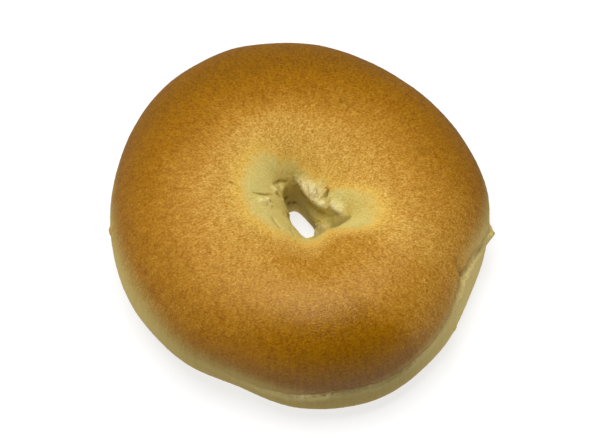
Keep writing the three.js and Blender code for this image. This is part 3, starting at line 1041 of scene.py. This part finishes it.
@dataclass(frozen=True)
class BakedCrust:
    """Boiled and baked bagel crust.

    Boiling sets a thin, tight skin, so the browned crust has a satin gloss broken by
    fine blisters; where it stayed pale round the hole and under its edge it is
    duller, creamy dough. The eye sees brown on the shoulders, gold in flecks towards
    the hole and cream in it.
    """

    stages: tuple[str, ...] = ("CCBC70", "D2AB50", "C39845", "A97723", "8F5D00", "7F5200")  # pale to brown
    stage_share: float = 0.8  # of the stages that full browning comes to
    side: str = "A38D47"
    dry_side: str = "E0C878"
    floury: str = "E2D6A6"
    # painted shade, in creases, gaps, pits and deep in the hole
    shaded: str = "6E5600"
    crevice: str = "D0A860"  # painted shadow along the crust's edge: multiplies what lies under it
    gloss_tint: str = "FFE0A8"
    flecks: Mottle = Mottle(1.6, 0.22)
    specks: Mottle = Mottle(0.44, -0.2, (0.65, 1.0, 1.0))
    patches: Mottle = Mottle(6.0, 0.2)
    streak_scale: float = 1.0  # in the grain
    streak_weight: float = 0.16
    wrinkle_scale: float = 2.4  # in the grain
    wrinkle_share: float = 0.35
    speck_and_glint_contrast: Point = (1.8, 2.6, 5.8)  # dark specks are more orange and pale ones greyer: mottling, and partly painted glints of the gloss
    swing: Ease = Ease(0.5, 0.85, -0.15, 0.15)  # of the specks and wrinkles
    powder: Ease = Ease(0.4, 0.6, 0.45, 1.1)  # the specks thin the flour
    crusted: Ease = Ease(0.1, 0.5, 0.35, 1.0)  # pale dough is calmer than crust
    calm: Ease = Ease(0.0, 1.0, 1.0, 0.25)  # and so are the side and the flour
    glazed: Ease = Ease(0.3, 0.7)  # browning at which the gloss comes
    roughness: float = 0.28
    dough_roughness: float = 0.85
    slanted_roughness: float = 0.9
    bump_height: float = 0.13  # mm
    refraction: float = 1.45
    specular: float = 0.4
    glow: float = 0.12  # share of light that goes through the dough
    glow_depth: Point = (1.0, 0.5, 0.2)
    glow_size: float = 2.0  # mm

    def _coloured(
        self, add: Adder, skin: dict[Skin, Socket], browned: Socket, specks: Socket, texture: Socket
    ) -> Socket:
        """Colour the skin by its browning, dry and floury dough, painted shade and shadow line, and specks.

        Args:
            add: what adds a node to the material's tree.
            skin: the values that the skin carries.
            browned: how far it is browned, with its mottling.
            specks: the finest mottling.
            texture: the specks and wrinkles together.

        Returns:
            The colour.
        """
        shown = add("ShaderNodeMath", {0: browned, 1: self.stage_share}, operation="MULTIPLY")
        colour = add("ShaderNodeValToRGB", {"Fac": shown}, output="Color")
        stops = colour.node.color_ramp.elements
        stops.remove(stops[1])
        stops[0].color = linear_colour(self.stages[0])
        for number, stage in enumerate(self.stages[1:], start=1):
            stops.new(number / (len(self.stages) - 1)).color = linear_colour(stage)
        grains = add("ShaderNodeMapRange", self.powder.inputs(specks))
        floury = skin[Skin.FLOURY]
        powder = add("ShaderNodeMath", {0: floury, 1: grains}, operation="MULTIPLY")
        # the SHADE share is painted shade
        for share, layer in (
            (skin[Skin.SIDE], self.side),
            (skin[Skin.DRY], self.dry_side),
            (skin[Skin.SHADE], self.shaded),
            (powder, self.floury),
        ):
            colour = add(
                "ShaderNodeMix",
                {"Factor": share, 6: colour, 7: linear_colour(layer)},
                data_type="RGBA",
                output=2,
            )
        plain = add("ShaderNodeMath", {0: skin[Skin.SIDE], 1: floury}, operation="MAXIMUM")
        calm = add("ShaderNodeMapRange", self.calm.inputs(plain))
        rough = add("ShaderNodeMath", {0: calm, 1: skin[Skin.CRUMBLY]}, operation="MAXIMUM")
        crusted = add("ShaderNodeMapRange", self.crusted.inputs(browned))
        swing = add("ShaderNodeMapRange", self.swing.inputs(texture))
        for share in (rough, crusted):
            swing = add("ShaderNodeMath", {0: swing, 1: share}, operation="MULTIPLY")
        # specks of colour, partly painted glints of the gloss
        pebbled_and_glinting = add(
            "ShaderNodeVectorMath",
            {0: self.speck_and_glint_contrast, 1: swing, 2: (1.0, 1.0, 1.0)},
            operation="MULTIPLY_ADD",
        )
        mottled = add("ShaderNodeVectorMath", {0: colour, 1: pebbled_and_glinting}, operation="MULTIPLY")
        # painted shadow line along the crust's edge
        return add(
            "ShaderNodeMix",
            {"Factor": skin[Skin.PAINTED_SHADOW_LINE], 6: mottled, 7: linear_colour(self.crevice)},
            data_type="RGBA",
            blend_type="MULTIPLY",
            output=2,
        )

    def _dulled(self, add: Adder, satin: Socket, browned: Socket) -> Socket:
        """Make the crust satin, and the dough and what is seen at a slant dull.

        Args:
            add: what adds a node to the material's tree.
            satin: how glossy the crust is.
            browned: how far the skin is browned, with its mottling.

        Returns:
            The roughness.
        """
        glazed = add("ShaderNodeMapRange", self.glazed.inputs(browned))
        glossy = add("ShaderNodeMath", {0: satin, 1: glazed}, operation="MULTIPLY")
        slanted = add("ShaderNodeLayerWeight", {"Blend": 0.5}, output="Facing")
        rough = self.dough_roughness
        for share, roughness in ((glossy, self.roughness), (slanted, self.slanted_roughness)):
            rough = add("ShaderNodeMix", {0: share, 2: rough, 3: roughness})
        return rough

    def material(self) -> bpy.types.Material:
        """Make the crust's material.

        Returns:
            The material.
        """
        crust = bpy.data.materials.new("boiled and baked bagel crust")
        crust.use_nodes = True
        crust.node_tree.nodes.clear()
        add = partial(add_node, crust.node_tree)
        skin = {
            value: add("ShaderNodeAttribute", output="Fac", attribute_name=value.value)
            for value in Skin
            if value not in (Skin.GRAIN, Skin.WRINKLED)
        }
        grain = add("ShaderNodeAttribute", output="Vector", attribute_name=Skin.GRAIN.value)
        place = add("ShaderNodeTexCoord", output="Object")
        flecks, specks, patches = (
            add(
                "ShaderNodeTexNoise",
                {
                    "Vector": add("ShaderNodeMapping", {"Vector": place, "Scale": mottle.drawn}),
                    "Scale": 1.0 / (mottle.size * MILLIMETRE),
                    "Detail": 3.0,
                    "Roughness": 0.6,
                    "Distortion": 0.6,
                },
            )
            for mottle in (self.flecks, self.specks, self.patches)
        )
        streaks = add(
            "ShaderNodeTexNoise",
            {"Vector": grain, "Scale": self.streak_scale, "Detail": 4.0, "Roughness": 0.6},
        )
        wrinkles = add(
            "ShaderNodeTexNoise", {"Vector": grain, "Scale": self.wrinkle_scale, "Detail": 2.0}
        )
        texture = add(
            "ShaderNodeMath", {0: wrinkles, 1: self.wrinkle_share, 2: specks}, operation="MULTIPLY_ADD"
        )
        browned = skin[Skin.BAKE]
        for noise, weight in (
            (flecks, self.flecks.weight),
            (streaks, self.streak_weight),
            (patches, self.patches.weight),
            (specks, self.specks.weight),
        ):
            swung = add("ShaderNodeMath", {0: noise, 1: NOISE_MIDDLE}, operation="SUBTRACT")
            browned = add("ShaderNodeMath", {0: swung, 1: weight, 2: browned}, operation="MULTIPLY_ADD")
        bumps = add(
            "ShaderNodeBump",
            {"Height": specks, "Strength": 1.0, "Distance": self.bump_height * MILLIMETRE},
        )
        surface = add(
            "ShaderNodeBsdfPrincipled",
            {
                "Base Color": self._coloured(add, skin, browned, specks, texture),
                "Roughness": self._dulled(add, skin[Skin.SATIN], browned),
                "IOR": self.refraction,
                "Specular IOR Level": self.specular,
                "Specular Tint": linear_colour(self.gloss_tint),
                "Subsurface Weight": self.glow,
                "Subsurface Radius": self.glow_depth,
                "Subsurface Scale": self.glow_size * MILLIMETRE,
                "Normal": bumps,
            },
        )
        add("ShaderNodeOutputMaterial", {"Surface": surface})
        return crust


@dataclass(frozen=True)
class PaperFloor:
    """Matte white paper sweep, lit from below as well, so it looks clean and pale."""

    colour: str = "8C8C8C"
    roughness: float = 0.9
    specular: float = 0.1
    glow: float = 0.75

    def material(self) -> bpy.types.Material:
        """Make the floor's material.

        Returns:
            The material.
        """
        paper = bpy.data.materials.new("matte white paper")
        paper.use_nodes = True
        paper.node_tree.nodes.clear()
        add = partial(add_node, paper.node_tree)
        surface = add(
            "ShaderNodeBsdfPrincipled",
            {
                "Base Color": linear_colour(self.colour),
                "Roughness": self.roughness,
                "Specular IOR Level": self.specular,
                "Emission Color": linear_colour(WHITE),
                "Emission Strength": self.glow,
            },
        )
        add("ShaderNodeOutputMaterial", {"Surface": surface})
        return paper


# ---------------------------------------------------------------- the piece


@dataclass
class Bagel:
    """The bagel: one dough ring with its relief, browning and crust."""

    ring: DoughRing = field(default_factory=DoughRing)
    browning: Browning = Browning()
    relief: SkinRelief = SkinRelief()
    crust: BakedCrust = BakedCrust()
    grain_radius: float = 22.0
    grain_stretch: float = 0.22  # how slowly the grain changes towards the hole

    def _values(self, skin: Grid) -> None:
        """Give each point of the skin its values for relief and finish.

        Args:
            skin: the ring's skin, which gets them.
        """
        browning = self.browning
        values = skin.values
        shelf, line = browning.along_edge(skin, self.ring.edge)
        values[Skin.BAKE] = browning.bake(skin)
        values[Skin.SIDE] = browning.side(skin)
        values[Skin.SATIN] = browning.satin.at(skin.bearing)
        # painted shadow line along the crust's edge
        values[Skin.PAINTED_SHADOW_LINE] = line
        values[Skin.DRY] = values[Skin.SIDE] * browning.side_tone.at(skin.bearing) + shelf
        values[Skin.FLOURY] = values[Skin.FLOURY] + browning.ledge_flour * shelf
        crumbs = shelf + browning.throat_crumbs * browning.throat(skin)
        values[Skin.CRUMBLY] = values[Skin.CRUMBLY] + crumbs
        # painted shade deep in the hole
        values[Skin.SHADE] = values[Skin.SHADE] + browning.deep_shade * browning.deep(skin)
        for value in (Skin.SATIN, Skin.DRY, Skin.FLOURY, Skin.CRUMBLY, Skin.SHADE):
            values[value] = np.clip(values[value], 0, 1)
        values[Skin.WRINKLED] = browning.stretched(skin)
        values[Skin.GRAIN] = np.stack(
            [
                self.grain_radius * np.cos(skin.bearing),
                self.grain_radius * np.sin(skin.bearing),
                self.grain_stretch * skin.reach,
            ],
            axis=-1,
        )

    def _mesh(self, skin: Grid) -> bpy.types.Mesh:
        """Turn the skin's grid into a closed mesh, centred on its base.

        Args:
            skin: the ring's skin, in mm.

        Returns:
            The mesh, in metres.
        """
        columns, rows = skin.reach.shape
        flat = (skin.points - np.array(RING_MIDDLE)).reshape(-1, 3)
        number = np.arange(columns * rows).reshape(columns, rows)
        right = np.roll(number, -1, axis=0)
        corners = [number, right, np.roll(right, -1, axis=1), np.roll(number, -1, axis=1)]
        faces = np.stack(corners, axis=-1)[..., ::-1].reshape(-1, 4)
        mesh = bpy.data.meshes.new("bagel skin")
        mesh.from_pydata((flat * MILLIMETRE).tolist(), [], faces.tolist())
        for name, values in skin.values.items():
            vector = name is Skin.GRAIN
            kind, slot = ("FLOAT_VECTOR", "vector") if vector else ("FLOAT", "value")
            attribute = mesh.attributes.new(name.value, kind, "POINT")
            attribute.data.foreach_set(slot, np.ascontiguousarray(values, dtype=np.float32).ravel())
        mesh.shade_smooth()
        return mesh

    def build(self) -> bpy.types.Object:
        """Make the bagel as one finished piece.

        Returns:
            The object, at the origin, with its place in its mesh.
        """
        skin = self.ring.grid()
        self._values(skin)
        piece = bpy.data.objects.new("whole_bagel", self._mesh(skin))
        bpy.context.scene.collection.objects.link(piece)
        self.relief.apply(piece, self.crust.material())
        piece.data.name = "whole_bagel"
        piece.data.shade_smooth()
        return piece


# ---------------------------------------------------------------- studio


@dataclass(frozen=True)
class Lamp:
    """One soft light, aimed at the bagel."""

    name: str
    place: Point
    width: float
    depth: float
    power: float

    def hang(self) -> None:
        """Put the light in the scene."""
        light = bpy.data.lights.new(self.name, "AREA")
        light.shape = "RECTANGLE"
        light.size = self.width
        light.size_y = self.depth
        light.energy = self.power
        lamp = bpy.data.objects.new(self.name, light)
        lamp.location = self.place
        lamp.rotation_euler = (-Vector(self.place)).to_track_quat("-Z", "Y").to_euler()
        bpy.context.scene.collection.objects.link(lamp)


@dataclass(frozen=True)
class Studio:
    """Pale floor, soft lights and the camera."""

    floor_side: float = 6.0
    lamps: tuple[Lamp, ...] = (
        Lamp("soft box", (-0.04, 0.07, 0.88), 0.5, 0.4, 9.0),
        Lamp("side panel", (-0.55, -0.15, 0.30), 0.35, 0.35, 0.7),
    )
    sky: float = 0.08
    camera_elevation: float = 62.0
    camera_distance: float = 0.460
    sight_height: float = 0.0170  # height that the camera looks at, over the hole
    sight_drop: float = 0.00136  # how far it looks under that
    frame_width: float = 0.1737  # how much it sees across, at that distance
    sensor: float = 36.0
    near_clip: float = 0.01

    def _floor(self) -> None:
        """Lay the floor at height 0."""
        half = self.floor_side / 2
        corners = [(-half, -half, 0), (half, -half, 0), (half, half, 0), (-half, half, 0)]
        mesh = bpy.data.meshes.new("floor")
        mesh.from_pydata(corners, [], [(0, 1, 2, 3)])
        mesh.materials.append(PaperFloor().material())
        floor = bpy.data.objects.new("floor", mesh)
        bpy.context.scene.collection.objects.link(floor)

    def _light(self) -> None:
        """Hang the lights, in a dim pale room."""
        for lamp in self.lamps:
            lamp.hang()
        world = bpy.data.worlds.new("pale room")
        world.use_nodes = True
        world.node_tree.nodes.clear()
        add = partial(add_node, world.node_tree)
        sky = add("ShaderNodeBackground", {"Color": linear_colour(WHITE), "Strength": self.sky})
        add("ShaderNodeOutputWorld", {"Surface": sky})
        bpy.context.scene.world = world

    def _camera(self) -> None:
        """Set the camera in front of the bagel, looking down on it."""
        lens = bpy.data.cameras.new("camera")
        lens.sensor_width = self.sensor
        lens.lens = self.sensor * self.camera_distance / self.frame_width
        lens.clip_start = self.near_clip
        camera = bpy.data.objects.new("camera", lens)
        tilt = math.radians(self.camera_elevation)
        back = Vector((0.0, -math.cos(tilt), math.sin(tilt)))
        right = Vector((1.0, 0.0, 0.0))
        up = back.cross(right)
        placed = Matrix((right, up, back)).transposed().to_4x4()
        sight = Vector(RING_MIDDLE) * -MILLIMETRE + Vector((0.0, 0.0, self.sight_height))
        placed.translation = sight - up * self.sight_drop + back * self.camera_distance
        camera.matrix_world = placed
        bpy.context.scene.collection.objects.link(camera)
        bpy.context.scene.camera = camera

    def build(self) -> None:
        """Set up the floor, the light, the camera and plain colours."""
        self._floor()
        self._light()
        self._camera()
        bpy.context.scene.view_settings.view_transform = "Standard"


def main() -> None:
    """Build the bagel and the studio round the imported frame."""
    logging.basicConfig(level=logging.INFO, format="%(name)s: %(message)s")
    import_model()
    Studio().build()
    LOG.info("studio: floor, soft box and camera")
    piece = Bagel().build()
    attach(piece, "root")
    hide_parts("bagel")
    LOG.info("whole bagel: %d faces, size %s", len(piece.data.polygons), tuple(piece.dimensions))


if __name__ == "__main__":
    main()
